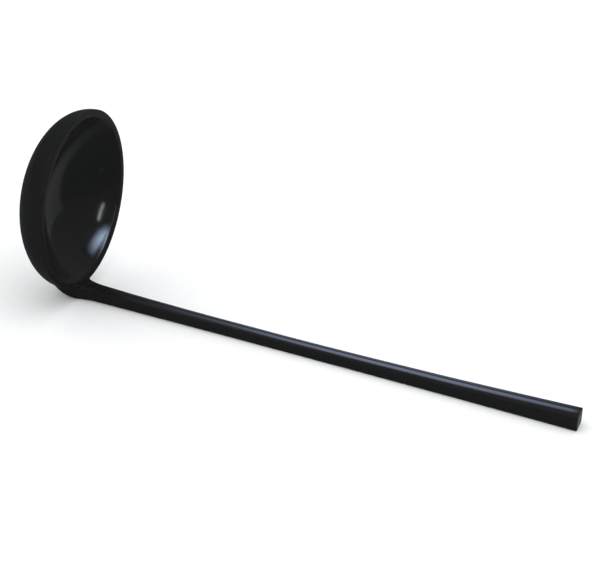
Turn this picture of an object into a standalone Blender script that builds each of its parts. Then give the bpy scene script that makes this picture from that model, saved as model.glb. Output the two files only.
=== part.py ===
"""Lacquered wooden serving scoop: a turned bowl pegged to the foot of a long straight handle.

The scoop lies on the flat underside of its handle, which runs along +X from the bowl to the cut end.
Construction places count x from the lowest point of the bowl's rim and z from the handle's underside.
"""

import math

import bmesh
import bpy
from mathutils import Vector

MM = 0.001

# Bowl
BOWL_RADIUS = 35.8 * MM
BOWL_DEPTH = 19.9 * MM
BOWL_FULLNESS = 2.2
BOWL_TILT = math.radians(3.4)
LIP_WIDTH = 2.9 * MM
OUTER_LIP_ROUND = 0.6 * MM
INNER_LIP_ROUND = 1.8 * MM
BASE_THICKNESS = 3.4 * MM
RIM_HEIGHT = 5.7 * MM

# Handle, from the rim to the cut end
HANDLE_LENGTH = 203.7 * MM
ROOT_WIDTH = 6.4 * MM
WAIST_WIDTH = 6.0 * MM
WAIST_THICKNESS = 4.8 * MM
END_WIDTH = 8.6 * MM
END_THICKNESS = 7.0 * MM
TOP_CROWN_RADIUS = 11.0 * MM
TOP_CROWN_RUN = 24.0 * MM
TOP_EDGE_ROUND = 1.0 * MM
UNDER_EDGE_ROUND = 1.1 * MM
CUT_END_ROUND = 0.3 * MM

# Throat where the handle's top curves up to the lip
THROAT_RISE = 0.2 * MM
THROAT_LENGTH = 3.0 * MM

# Foot, the widened root that laps the bowl's outside
FOOT_SETBACK = 1.3 * MM
FOOT_WIDTH = 15.6 * MM
FOOT_ROUND_LENGTH = 6.0 * MM
FLARE_LENGTH = 7.0 * MM
HEEL_START = 0.2 * MM
HEEL_CURVE = 2.3
FOOT_EDGE = 4.4 * MM
FOOT_UNDER_ROUND = 2.2 * MM

# Pegs and seam
PEG_RADIUS = 1.2 * MM
PEG_INSET = 4.0 * MM
PEG_SPACING = 5.6 * MM
PEG_DEPTH = 3.0 * MM
PEG_SINK = 0.4 * MM
FILLET_REACH = 9.0 * MM
FILLET_DROP = 4.4 * MM
FILLET_RUN = 11.0 * MM
FILLET_START_SHARE = 0.2
FILLET_TOUCH_SHARE = 0.85
SEAM_GAP = 0.3 * MM

# How finely round shapes are divided
BOWL_SIDES = 72
WALL_STEPS = 14
ROUND_STEPS = 4
CORNER_STEPS = 5
CROWN_STEPS = 3
FOOT_STEPS = 8
LAP_STEPS = 7
TOUCH_STEPS = 30
FILLET_STEPS = 4
THROAT_STEPS = 5
FLARE_STEPS = 5
HANDLE_STEPS = 14
PEG_SIDES = 20
TIP_ANGLE = math.radians(70.0)
SMOOTH_ANGLE = math.radians(32.0)
WELD_DISTANCE = 0.001 * MM
HALVINGS = 40

# Cutters and stock reach past a cut by this much
CUT_REACH = 2.0 * MM

RIM_CENTRE_X = -BOWL_RADIUS * math.sin(BOWL_TILT)
RIM_CENTRE_Z = RIM_HEIGHT + BOWL_RADIUS * math.cos(BOWL_TILT)
RIM_CENTRE = Vector((RIM_CENTRE_X, 0.0, RIM_CENTRE_Z))
BOWL_TURN = (0.0, math.pi / 2 - BOWL_TILT, 0.0)

# The inside is a dish, part of a ball through the mouth's corner and the bottom
MOUTH_RADIUS = BOWL_RADIUS - LIP_WIDTH
DISH_DEPTH = BOWL_DEPTH - BASE_THICKNESS
BALL_RADIUS = (MOUTH_RADIUS**2 + DISH_DEPTH**2) / (2 * DISH_DEPTH)
INNER_ROUND_PLACE = math.sqrt(MOUTH_RADIUS**2 + 2 * INNER_LIP_ROUND * DISH_DEPTH)
INNER_ROUND_ANGLE = math.asin(INNER_ROUND_PLACE / (BALL_RADIUS + INNER_LIP_ROUND))

# The foot's tip stays short of the bowl's bottom
FOOT_LENGTH = BOWL_DEPTH - FOOT_SETBACK
FOOT_ROUND_START = FOOT_LENGTH - FOOT_ROUND_LENGTH

# Finishes: colour, roughness and weight of the clear top coat
BOWL_LACQUER = ((0.011, 0.011, 0.013, 1.0), 0.12, 0.6)
HANDLE_LACQUER = ((0.011, 0.011, 0.013, 1.0), 0.16, 0.5)
FILLET_PUTTY = ((0.016, 0.014, 0.013, 1.0), 0.3, 0.3)
PEG_BAMBOO = ((0.46, 0.33, 0.17, 1.0), 0.55, 0.0)


def clear_scene():
    for obj in list(bpy.data.objects):
        bpy.data.objects.remove(obj, do_unlink=True)


def finish_material(name, finish):
    colour, roughness, coat = finish
    material = bpy.data.materials.new(name)
    material.use_nodes = True
    shader = material.node_tree.nodes["Principled BSDF"]
    shader.inputs["Base Color"].default_value = colour
    shader.inputs["Roughness"].default_value = roughness
    shader.inputs["Metallic"].default_value = 0.0
    shader.inputs["Coat Weight"].default_value = coat
    material.diffuse_color = colour
    return material


def object_from(name, bm, parent, material=None):
    """A named object from a bmesh, with outward faces, smooth where it is round."""
    bmesh.ops.remove_doubles(bm, verts=bm.verts, dist=WELD_DISTANCE)
    bmesh.ops.recalc_face_normals(bm, faces=bm.faces)
    mesh = bpy.data.meshes.new(name)
    bm.to_mesh(mesh)
    bm.free()
    mesh.shade_smooth()
    mesh.set_sharp_from_angle(angle=SMOOTH_ANGLE)
    if material:
        mesh.materials.append(material)
    obj = bpy.data.objects.new(name, mesh)
    bpy.context.scene.collection.objects.link(obj)
    obj.parent = parent
    return obj


def make_cutter(obj):
    obj.hide_render = True
    obj.display_type = "WIRE"
    return obj


def cut(obj, cutter):
    modifier = obj.modifiers.new("cut_" + cutter.name, "BOOLEAN")
    modifier.operation = "DIFFERENCE"
    modifier.object = cutter


def turned(profile):
    """A bmesh turned about Z from (radius, height) points that start and end on the axis."""
    bm = bmesh.new()
    points = [bm.verts.new((radius, 0.0, height)) for radius, height in profile]
    edges = [bm.edges.new(pair) for pair in zip(points, points[1:])]
    line = points + edges
    up = (0.0, 0.0, 1.0)
    bmesh.ops.spin(bm, geom=line, axis=up, angle=math.tau, steps=BOWL_SIDES, use_merge=True)
    return bm


def lofted(rings):
    """A bmesh through rings of points, capped at both ends."""
    bm = bmesh.new()
    loops = [[bm.verts.new(point) for point in ring] for ring in rings]
    for near, far in zip(loops, loops[1:]):
        for side in range(len(near)):
            bm.faces.new((near[side - 1], near[side], far[side], far[side - 1]))
    bm.faces.new(loops[0])
    bm.faces.new(loops[-1])
    return bm


def wall_profile(radius, depth, fullness, start):
    """Points (radius, height) of a bowl wall, from a start depth under the rim down to the axis."""
    first = math.asin((start / depth) ** (fullness / 2))
    points = []
    for step in range(WALL_STEPS):
        angle = first + (math.pi / 2 - first) * step / WALL_STEPS
        across = radius * math.cos(angle) ** (2 / fullness)
        points.append((across, -depth * math.sin(angle) ** (2 / fullness)))
    return points + [(0.0, -depth)]


def dish_profile():
    """Points (radius, height) of the dished inside, from the lip's inner edge down to the axis."""
    points = []
    for angle in spread(INNER_ROUND_ANGLE, 0.0, WALL_STEPS) + [0.0]:
        height = BALL_RADIUS * (1.0 - math.cos(angle)) - DISH_DEPTH
        points.append((BALL_RADIUS * math.sin(angle), height))
    return points


def lip_edge(centre_radius, lip_round, first_angle, last_angle):
    """Round of one of the lip's edges, about a centre that lies under the lip's flat."""
    points = []
    for step in range(ROUND_STEPS + 1):
        angle = first_angle + (last_angle - first_angle) * step / ROUND_STEPS
        points.append((centre_radius + lip_round * math.cos(angle), lip_round * (math.sin(angle) - 1.0)))
    return points


def outside_radius(depth, gap):
    """Outside radius of the bowl at a depth behind the rim plane, grown by a gap."""
    share = min(max(depth / (BOWL_DEPTH + gap), 0.0), 1.0)
    return (BOWL_RADIUS + gap) * (1.0 - share**BOWL_FULLNESS) ** (1.0 / BOWL_FULLNESS)


def outside_height(x, y, gap):
    """Height of the bowl's outside over a place on the table, found by halving an interval."""
    low = 0.0
    high = RIM_CENTRE.z
    for _ in range(HALVINGS):
        middle = (low + high) / 2
        offset = Vector((x, y, middle)) - RIM_CENTRE
        depth = -offset.x * math.cos(BOWL_TILT) - offset.z * math.sin(BOWL_TILT)
        drop = offset.x * math.sin(BOWL_TILT) - offset.z * math.cos(BOWL_TILT)
        if math.hypot(drop, y) > outside_radius(depth, gap):
            low = middle
        else:
            high = middle
    return high


def smooth(share):
    """A soft step from 0 to 1."""
    share = min(max(share, 0.0), 1.0)
    return share * share * (3 - 2 * share)


def along_handle(x, root, waist, end):
    """A size that runs smoothly from the handle's root through its waist, halfway, to its end."""
    share = max(x, 0.0) / HANDLE_LENGTH
    toward_ends = root * (1 - share) * (1 - 2 * share) + end * share * (2 * share - 1)
    return toward_ends + waist * 4 * share * (1 - share)


def half_width(x):
    body = along_handle(x, ROOT_WIDTH, WAIST_WIDTH, END_WIDTH) / 2
    flare = smooth((FLARE_LENGTH - x) / (FLARE_LENGTH + FOOT_ROUND_START))
    width = body + (FOOT_WIDTH / 2 - body) * flare
    past = max(-x - FOOT_ROUND_START, 0.0) / FOOT_ROUND_LENGTH
    return width * math.sqrt(1.0 - past * past)


def tip_place():
    return -FOOT_ROUND_START - FOOT_ROUND_LENGTH * math.sin(TIP_ANGLE)


def underside(x):
    """Height of the underside: flat, and rising in the heel to the foot's rear edge."""
    heel_top = outside_height(tip_place(), 0.0, SEAM_GAP) - FOOT_EDGE
    share = max(HEEL_START - x, 0.0) / (HEEL_START - tip_place())
    return heel_top * share**HEEL_CURVE


def under_edge_round(x):
    """Radius of the lower edges, which grows along the foot."""
    growth = FOOT_UNDER_ROUND - UNDER_EDGE_ROUND
    return UNDER_EDGE_ROUND + growth * smooth(-x / FOOT_ROUND_START)


def topside(x):
    """Height of the handle's top. Under the bowl it is stock for the saddle cut."""
    throat = THROAT_RISE * max(1.0 - max(x, 0.0) / THROAT_LENGTH, 0.0) ** 2
    top = along_handle(x, RIM_HEIGHT, WAIST_THICKNESS, END_THICKNESS) + throat
    if x < 0.0:
        top = max(top, outside_height(x, half_width(x), SEAM_GAP) + CUT_REACH)
    return top


def arc(centre_y, centre_z, radius, first_angle, last_angle):
    points = []
    for step in range(CORNER_STEPS + 1):
        angle = first_angle + (last_angle - first_angle) * step / CORNER_STEPS
        points.append((centre_y + radius * math.cos(angle), centre_z + radius * math.sin(angle)))
    return points


def crowned_top(x, across, high, edge_round):
    """Half of the top, from the side up over the round edge and along the crown to the middle."""
    bend = smooth(x / TOP_CROWN_RUN) / TOP_CROWN_RADIUS
    lean = 0.0
    for _ in range(HALVINGS):
        crown_end = across - edge_round + edge_round * math.sin(lean)
        lean = math.atan(crown_end * bend)
    centre_z = high - bend * crown_end**2 / 2 - edge_round * math.cos(lean)
    points = arc(across - edge_round, centre_z, edge_round, 0.0, math.pi / 2 - lean)
    for y in spread(crown_end, 0.0, CROWN_STEPS)[1:] + [0.0]:
        points.append((y, high - bend * y * y / 2))
    return points


def section_ring(x, inset):
    """Rounded section of the handle at x, drawn in all round by an inset."""
    across = half_width(x) - inset
    low = underside(x) + inset
    high = topside(x) - inset
    under_round = min(under_edge_round(x), across) - inset
    top_round = min(TOP_EDGE_ROUND, across) - inset
    right = arc(across - under_round, low + under_round, under_round, -math.pi / 2, 0.0)
    right += crowned_top(x, across, high, top_round)
    left = [(-y, z) for y, z in right[-2::-1]]
    return [(x, y, z) for y, z in right + left]


def spread(first, last, steps):
    """Evenly spaced values from first on, short of last."""
    return [first + (last - first) * step / steps for step in range(steps)]


def foot_places():
    """Places along the foot, from its rear tip to the rim."""
    angles = spread(TIP_ANGLE, 0.0, FOOT_STEPS)
    rear = [-FOOT_ROUND_START - FOOT_ROUND_LENGTH * math.sin(angle) for angle in angles]
    return rear + spread(-FOOT_ROUND_START, 0.0, LAP_STEPS)


def handle_rings():
    last = HANDLE_LENGTH - CUT_END_ROUND
    places = foot_places() + spread(0.0, THROAT_LENGTH, THROAT_STEPS)
    places += spread(THROAT_LENGTH, FLARE_LENGTH, FLARE_STEPS) + spread(FLARE_LENGTH, last, HANDLE_STEPS)
    rings = [section_ring(x, 0.0) for x in places]
    for step in range(ROUND_STEPS + 1):
        angle = math.pi / 2 * step / ROUND_STEPS
        inset = CUT_END_ROUND * (1 - math.cos(angle))
        rings.append(section_ring(last + CUT_END_ROUND * math.sin(angle), inset))
    return rings


def bowl(parent, material):
    upward = math.pi / 2
    outer = wall_profile(BOWL_RADIUS, BOWL_DEPTH, BOWL_FULLNESS, OUTER_LIP_ROUND)
    outer_edge = lip_edge(BOWL_RADIUS - OUTER_LIP_ROUND, OUTER_LIP_ROUND, 0.0, upward)
    inner_edge = lip_edge(INNER_ROUND_PLACE, INNER_LIP_ROUND, upward, upward + INNER_ROUND_ANGLE)
    profile = outer[::-1] + outer_edge + inner_edge + dish_profile()
    obj = object_from("bowl", turned(profile), parent, material)
    obj.location = RIM_CENTRE
    obj.rotation_euler = BOWL_TURN
    return obj


def bowl_envelope(parent):
    """Space that the bowl fills, with the seam's gap, to hollow the foot."""
    radius = BOWL_RADIUS + SEAM_GAP
    wall = wall_profile(radius, BOWL_DEPTH + SEAM_GAP, BOWL_FULLNESS, OUTER_LIP_ROUND)
    obj = object_from("bowl_envelope", turned([(0.0, SEAM_GAP), (radius, SEAM_GAP)] + wall), parent)
    obj.location = RIM_CENTRE
    obj.rotation_euler = BOWL_TURN
    return make_cutter(obj)


def rod(name, parent, x, low, high, radius, material=None):
    """An upright round rod on the scoop's middle plane."""
    bm = bmesh.new()
    ends = {"radius1": radius, "radius2": radius, "depth": high - low}
    bmesh.ops.create_cone(bm, cap_ends=True, segments=PEG_SIDES, **ends)
    obj = object_from(name, bm, parent, material)
    obj.location = (x, 0.0, (low + high) / 2)
    return obj


def peg_and_hole(name, parent, x, material):
    """A peg standing through the foot into the bowl's wall, and the cutter of its hole."""
    hole_top = outside_height(x, 0.0, 0.0) + PEG_DEPTH
    rod(name, parent, x, underside(x) + PEG_SINK, hole_top - SEAM_GAP, PEG_RADIUS, material)
    return make_cutter(rod(name + "_hole", parent, x, -CUT_REACH, hole_top, PEG_RADIUS + SEAM_GAP))


def foot_outline():
    """Plan of the foot's sides and rear, from the rim round the tip and back."""
    side = [Vector((x, half_width(x))) for x in foot_places()[::-1]]
    tip = [Vector((tip_place(), 0.0))]
    return side + tip + [Vector((point.x, -point.y)) for point in side[::-1]]


def fillet_edge(corner, outward, reach):
    """Where the bead ends on the bowl's outside, a given reach from the seam's corner."""
    low = 0.0
    high = reach
    for _ in range(HALVINGS):
        middle = (low + high) / 2
        place = corner.xy + outward * middle
        edge = Vector((place.x, place.y, outside_height(place.x, place.y, SEAM_GAP)))
        if (edge - corner).length > reach:
            high = middle
        else:
            low = middle
    return edge


def fillet_limit(seam, low, outward, reach):
    """A little less than the reach asked, or than that at which a straight face from low touches the bowl."""
    limit = reach
    widest = 0.0
    for tried in spread(reach, 0.0, TOUCH_STEPS):
        edge = fillet_edge(seam, outward, tried)
        opening = (edge - low).xy.length / (edge.z - low.z)
        if opening > widest:
            widest = opening
            limit = tried
    return limit * FILLET_TOUCH_SHARE


def seam_fillet(parent, material):
    """Putty bead in the corner between the foot's side and the bowl's outside."""
    outline = foot_outline()
    rings = []
    for index, point in enumerate(outline):
        before = outline[max(index - 1, 0)]
        after = outline[min(index + 1, len(outline) - 1)]
        along = (after - before).normalized()
        outward = Vector((along.y, -along.x))
        grown = FILLET_START_SHARE + (1 - FILLET_START_SHARE) * smooth(-point.x / FILLET_RUN)
        place = point + outward * SEAM_GAP
        seam = Vector((place.x, place.y, outside_height(place.x, place.y, SEAM_GAP)))
        lowest = max(seam.z - FILLET_DROP * grown, underside(point.x) + under_edge_round(point.x))
        low = Vector((place.x, place.y, lowest))
        limit = fillet_limit(seam, low, outward, FILLET_REACH * grown)
        on_bowl = [fillet_edge(seam, outward, reach) for reach in spread(limit, 0.0, FILLET_STEPS)]
        rings.append(on_bowl + [seam, low])
    return object_from("seam_fillet", lofted(rings), parent, material)


def bowl_back():
    """Rearmost place of the bowl's outside."""
    reach = 0.0
    for depth in spread(0.0, BOWL_DEPTH, BOWL_SIDES):
        leaning = outside_radius(depth, 0.0) * math.sin(BOWL_TILT)
        reach = max(reach, depth * math.cos(BOWL_TILT) + leaning)
    return RIM_CENTRE.x - reach


def main():
    clear_scene()
    frame = bpy.data.objects.new("scoop_frame", None)
    bpy.context.scene.collection.objects.link(frame)
    frame.location.x = -(bowl_back() + HANDLE_LENGTH) / 2

    bowl_piece = bowl(frame, finish_material("bowl_lacquer", BOWL_LACQUER))
    handle_lacquer = finish_material("handle_lacquer", HANDLE_LACQUER)
    handle_piece = object_from("handle", lofted(handle_rings()), frame, handle_lacquer)
    cut(handle_piece, bowl_envelope(frame))

    for name, x in (("front_peg", -PEG_INSET), ("rear_peg", -PEG_INSET - PEG_SPACING)):
        hole = peg_and_hole(name, frame, x, finish_material(name + "_bamboo", PEG_BAMBOO))
        cut(handle_piece, hole)
        cut(bowl_piece, hole)

    seam_fillet(frame, finish_material("fillet_putty", FILLET_PUTTY))


main()
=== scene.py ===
"""Looks of a lacquered wooden serving scoop, dressed round its packed construction.

A turned bowl sits on the foot of a long straight handle. Two bamboo pegs and a bead of putty hold it there,
and black lacquer covers all of it. Lengths are in metres. The bowl is turned about its own axis. The other
pieces are made in a bench frame, which counts x from the lowest point of the rim and z from the floor.
"""

import math
from typing import NamedTuple

import bmesh
import bpy
from mathutils import Matrix, Vector


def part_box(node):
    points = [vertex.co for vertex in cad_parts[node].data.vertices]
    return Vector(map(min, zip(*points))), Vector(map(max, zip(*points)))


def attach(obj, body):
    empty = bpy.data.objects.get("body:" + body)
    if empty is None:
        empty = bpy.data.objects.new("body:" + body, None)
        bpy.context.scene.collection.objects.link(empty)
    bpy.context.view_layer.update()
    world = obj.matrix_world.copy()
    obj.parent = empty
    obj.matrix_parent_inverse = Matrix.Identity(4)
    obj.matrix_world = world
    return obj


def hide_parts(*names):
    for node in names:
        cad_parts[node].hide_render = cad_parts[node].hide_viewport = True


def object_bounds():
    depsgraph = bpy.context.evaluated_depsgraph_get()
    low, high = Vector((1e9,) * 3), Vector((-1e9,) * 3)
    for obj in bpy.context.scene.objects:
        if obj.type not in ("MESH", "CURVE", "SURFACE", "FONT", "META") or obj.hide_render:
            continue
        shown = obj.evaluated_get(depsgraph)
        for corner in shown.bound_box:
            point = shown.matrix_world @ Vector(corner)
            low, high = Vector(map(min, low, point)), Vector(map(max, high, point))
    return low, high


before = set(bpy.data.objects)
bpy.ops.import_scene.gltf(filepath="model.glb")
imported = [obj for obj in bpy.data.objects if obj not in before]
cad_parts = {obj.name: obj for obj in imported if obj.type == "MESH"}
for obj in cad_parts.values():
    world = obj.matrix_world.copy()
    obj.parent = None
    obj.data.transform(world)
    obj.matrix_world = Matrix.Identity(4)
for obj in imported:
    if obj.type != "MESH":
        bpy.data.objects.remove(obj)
CAD_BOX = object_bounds()

bl_info = {
    "name": "Lacquered Serving Scoop",
    "version": (1, 0, 0),
    "blender": (4, 5, 0),
    "location": "3D View > Sidebar > Scoop",
    "description": "Dresses the scoop's construction in black lacquer and sets it on a studio floor",
    "category": "Add Mesh",
}

BODY = "root"
MM = 0.001

# Places that the frame gives
BOWL_LOW, BOWL_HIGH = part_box("bowl")
HANDLE_LOW, HANDLE_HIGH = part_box("handle")
FRONT_PEG_LOW, FRONT_PEG_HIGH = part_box("front_peg")
REAR_PEG_LOW, REAR_PEG_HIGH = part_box("rear_peg")

# How finely the pieces are divided
BOWL_SIDES = 192
WALL_STEPS = 44
LIP_STEPS = 8
CORNER_STEPS = 8
FLAT_SHARES = (0.0, 0.35, 0.7, 0.93)
CROWN_SHARES = (0.88, 0.72, 0.54, 0.36, 0.18, 0.0)
SIDE_SHARES = (0.07, 0.3, 0.5, 0.7, 0.93)
TIP_ANGLE = math.radians(86.0)
TIP_STEPS = 26
LAP_STEPS = 12
LIP_LAP_STEPS = 10
THROAT_STEPS = 14
FLARE_STEPS = 14
BODY_STEPS = 70
END_STEPS = 6
BEAD_STEPS = 6
TOUCH_STEPS = 14
PEG_SIDES = 40
PEG_RINGS = 5
HALVINGS = 28
SMOOTH_ANGLE = math.radians(38.0)
WELD_DISTANCE = 0.001 * MM

# Traces of handwork: the plane's long and short waves in the handle's top, and the lathe's lobes in the lip
LONG_WAVE = 9.1 * MM
SHORT_WAVE = 5.3 * MM
SHORT_WAVE_SHARE = 0.6
SHORT_WAVE_START = 1.0
OVAL_START = 0.7
LOBES = 5
LOBE_SHARE = 0.5


class Grain(NamedTuple):
    """A pattern of noise: marks to the metre, its detail and roughness, and the levels it shows between."""

    scale: float
    detail: float
    roughness: float
    low: float = 0.0
    high: float = 1.0


# Marks in the lacquer and the paper
STROKES = Grain(900.0, 3.0, 0.55, 0.3, 0.7)
HAIRS = Grain(3600.0, 1.0, 0.5, 0.62, 0.75)
PEEL = Grain(210.0, 1.5, 0.45)
RUBBING = Grain(42.0, 3.0, 0.6, 0.42, 0.72)
WEAR = Grain(160.0, 4.0, 0.65, 0.38, 0.7)
SPECKS = Grain(700.0, 2.0, 0.5, 0.6, 0.8)
PAPER = Grain(350.0, 3.0, 0.6, 0.35, 0.65)
PAPER_SHADES = (0.985, 1.0)

# Fibres of the pegs to the metre, and the levels at which they show in the wood and through the lacquer
FIBRE_SCALE = 4200.0
WOOD_LEVELS = (0.1, 0.45)
SKIN_LEVELS = (0.2, 0.6)

# How far strokes and fibres are drawn out along each axis
TURNED_SWING = 2.0 * MM
HANDLE_STROKES = (0.035, 1.0, 1.0)
BEAD_STROKES = (0.3, 0.3, 1.0)
PEG_FIBRES = (1.0, 1.0, 0.05)

# Heights of the peel and of the strokes, and of the pegs' fibres
BOWL_MARKS = (0.012 * MM, 0.0012 * MM)
HANDLE_MARKS = (0.010 * MM, 0.0016 * MM)
BEAD_MARKS = (0.020 * MM, 0.002 * MM)
FIBRE_HEIGHT = 0.01 * MM

# Roughness of the lacquer from stroke to stroke, and what rubbing, wear and stray hairs add to it
STROKE_ROUGHNESS = (0.07, 0.12)
RUBBED_ROUGHNESS = 0.035
WORN_ROUGHNESS = 0.2
HAIR_ROUGHNESS = 0.04
PEG_ROUGHNESS = (0.6, 0.2)
FIBRE_ROUGHNESS = 0.1

# How much wear the lip, the handle's edges and the bead's specks have
LIP_WEAR = 0.5
EDGE_WEAR = 0.7
SPECK_WEAR = 0.3

# Depths below the lip, in rounds of its inner edge: where wear begins, and where dulling begins and is full
LIP_WORN_FROM = -2.0
LIP_DULL_FROM = -0.4
LIP_DULL_TO = -0.05

# Height over the underside at which the lacquer on a peg's end thins, and at which it is gone
SEAL_FROM = 0.5 * MM
SEAL_TO = 0.9 * MM


# Settings


def length(name, description, value):
    return bpy.props.FloatProperty(
        name=name, description=description, default=value, min=0.0, precision=5, unit="LENGTH"
    )


def angle(name, description, degrees):
    return bpy.props.FloatProperty(
        name=name, description=description, default=math.radians(degrees), subtype="ANGLE"
    )


def share(name, description, value):
    return bpy.props.FloatProperty(
        name=name, description=description, default=value, min=0.0, max=1.0, subtype="FACTOR"
    )


def number(name, description, value):
    return bpy.props.FloatProperty(name=name, description=description, default=value, min=0.0)


def colour(name, description, value):
    return bpy.props.FloatVectorProperty(
        name=name, description=description, default=value, size=4, min=0.0, max=1.0, subtype="COLOR"
    )


class BowlSizes(bpy.types.PropertyGroup):
    """Sizes of the turned bowl"""

    radius: length("Radius", "Outside radius of the rim", (BOWL_HIGH.y - BOWL_LOW.y) / 2)
    depth: length("Depth", "Outside depth from the rim plane to the bottom", 19.9 * MM)
    fullness: number("Fullness", "Exponent of the wall's curve, 2 being an ellipse", 2.2)
    tilt: angle("Tilt", "Lean of the rim plane back from upright", 3.4)
    lip_width: length("Lip width", "Thickness of the wall at the lip", 2.9 * MM)
    lip_outer: length("Outer lip round", "Radius of the lip's outer edge", 0.3 * MM)
    lip_inner: length("Inner lip round", "Radius of the lip's inner edge", 1.8 * MM)
    base_thickness: length("Base thickness", "Thickness of the wall at the bottom", 3.4 * MM)
    rim_height: length("Rim height", "Height of the rim's lowest point over the floor", 5.7 * MM)
    lip_wave: length("Lip wave", "How far the hand-turned lip strays from a true circle", 0.05 * MM)


class HandleSizes(bpy.types.PropertyGroup):
    """Sizes of the handle and of the foot that laps the bowl"""

    length: length("Length", "From the rim's lowest point to the cut end", 203.7 * MM)
    root_width: length("Root width", "Width where the handle leaves the bowl", 6.4 * MM)
    waist_width: length("Waist width", "Width halfway", 6.0 * MM)
    waist_thickness: length("Waist thickness", "Thickness halfway", 4.8 * MM)
    end_width: length("End width", "Width at the cut end", 8.6 * MM)
    end_thickness: length("End thickness", "Thickness at the cut end", 7.0 * MM)
    throat_rise: length("Throat rise", "Height of the hollow curve up to the lip", 0.2 * MM)
    throat_length: length("Throat length", "Length of the hollow curve up to the lip", 3.0 * MM)
    top_round: length("Top round", "Radius of the upper edges", 1.0 * MM)
    under_round: length("Under round", "Radius of the lower edges", 1.1 * MM)
    end_round: length("End round", "Radius of the cut end's rim", 0.35 * MM)
    end_slant: length("End slant", "How much further the cut end reaches below than above", 0.4 * MM)
    top_crown: length("Top crown", "Radius that the top is rounded to across the handle", 11.0 * MM)
    crown_run: length("Crown run", "From the rim to where the top is fully rounded", 24.0 * MM)
    side_crown: length("Side crown", "Swell of the side faces", 0.1 * MM)
    hand_wave: length("Hand wave", "How far the hand-planed top strays from a true line", 0.02 * MM)
    foot_length: length("Foot length", "From the rim back to the foot's tip", 18.6 * MM)
    foot_width: length("Foot width", "Width of the foot under the bowl", HANDLE_HIGH.y - HANDLE_LOW.y)
    foot_round: length("Foot round", "Length of the foot's rounded rear", 6.0 * MM)
    flare: length("Flare", "Length over which the handle widens into the foot", 7.0 * MM)
    heel: length("Heel", "Length of the rising underside", 18.8 * MM)
    heel_curve: number("Heel curve", "Exponent of the heel's rise", 2.3)
    foot_edge: length("Foot edge", "Thickness of the foot at its tip", 4.4 * MM)
    foot_under: length("Foot under round", "Radius of the foot's lower edges", 2.2 * MM)


class JointSizes(bpy.types.PropertyGroup):
    """Sizes of the pegs and of the putty bead in the seam"""

    contact: length("Contact", "Clearance between surfaces that touch", 0.02 * MM)
    peg_radius: length("Peg radius", "Radius of the pegs", (FRONT_PEG_HIGH.y - FRONT_PEG_LOW.y) / 2)
    peg_sink: length("Peg sink", "How far the pared peg ends lie inside the underside", 0.06 * MM)
    peg_dome: length("Peg dome", "Swell of the pared peg ends", 0.05 * MM)
    peg_edge: length("Peg edge", "Radius of the pegs' rims", 0.12 * MM)
    hole_gap: length("Hole gap", "Clearance of the pegs in their holes", 0.07 * MM)
    bead_reach: length("Bead reach", "How far the bead runs out over the bowl", 9.0 * MM)
    bead_drop: length("Bead drop", "How far the bead runs down the foot", 4.4 * MM)
    bead_touch: share("Bead touch", "Used share of the reach at which its face would touch the bowl", 0.95)
    bead_start: length("Bead start", "Where the bead starts, behind the rim", 0.7 * MM)
    bead_feather: length("Bead feather", "Length over which the bead grows to its full size", 11.0 * MM)
    bead_least: share("Bead's least share", "Share of the bead's size at its start", 0.15)


class LacquerLooks(bpy.types.PropertyGroup):
    """Colours and gloss of the finishes"""

    black: colour("Black", "Colour of the lacquer's body", (0.0092, 0.0096, 0.0097, 1.0))
    warm: colour("Warm black", "Colour where the lacquer is rubbed thinner", (0.0106, 0.0104, 0.0099, 1.0))
    edge: colour("Edge", "Brown undercoat that shows faintly at worn edges", (0.0135, 0.0118, 0.0108, 1.0))
    bamboo: colour("Bamboo", "Colour of the pegs' sides", (0.46, 0.33, 0.17, 1.0))
    fibre: colour("Fibre", "Colour of the pegs' fibres", (0.20, 0.11, 0.045, 1.0))
    specular: share("Specular level", "Reflection of the lacquer, a half being plain glass", 0.5)
    lip_specular: share("Lip's specular level", "Reflection of the lip, which use has dulled", 0.09)


class StageLooks(bpy.types.PropertyGroup):
    """Floor, light and camera"""

    floor: colour("Floor", "Colour of the studio floor", (0.92, 0.92, 0.918, 1.0))
    # Gloss rays see the floor not as paper but as painted shade near the scoop and a painted glow further
    # off.
    flag: colour("Painted shade in reflections", "Glow of the floor that gloss mirrors near by", (0.05, 0.052, 0.057, 1.0))
    painted_glow: colour("Painted glow in reflections", "Painted glow of the floor beyond the painted shade", (0.225, 0.24, 0.235, 1.0))
    glow_border: length("Glow border", "How far behind the scoop's middle the painted glow starts", 85.0 * MM)
    glow_blur: length("Glow blur", "Width of the soft border of the painted glow", 14.0 * MM)
    glow_lean: number("Glow lean", "How far that border goes back for each length along the handle", 0.6)
    sky: colour("Sky", "Colour of the studio's soft surrounding light", (0.98, 0.99, 1.0, 1.0))
    sky_strength: number("Sky strength", "Strength of the soft surrounding light", 1.08)
    backdrop_strength: number("Backdrop strength", "Strength of the backdrop beyond the floor", 1.05)
    room_low: number("Low room", "Glow of the room that gloss mirrors near the floor", 0.08)
    room_high: number("High room", "Glow of the room that gloss mirrors overhead", 0.15)
    room_rear: share("Rear room", "Share of that glow on the side behind the bowl", 0.4)
    azimuth: angle("Azimuth", "Camera's turn from the front towards the handle's end", 17.579)
    elevation: angle("Elevation", "Camera's height over the horizon", 25.512)
    roll: angle("Roll", "Camera's turn about its own axis", 6.534)
    distance: length("Distance", "From the camera to what it looks at", 660.0 * MM)
    lens: bpy.props.FloatProperty(
        name="Lens", description="Focal length on a sensor 36 mm wide", default=103.776, unit="CAMERA"
    )


# Shape of the bowl and the handle


def rim_place(handle):
    """Where the rim's lowest point lies along the frame."""
    return Vector((HANDLE_HIGH.x - handle.length, 0.0, CAD_BOX[0].z))


def rim_centre(bowl):
    across = bowl.radius * math.cos(bowl.tilt)
    return Vector((-bowl.radius * math.sin(bowl.tilt), 0.0, bowl.rim_height + across))


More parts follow.
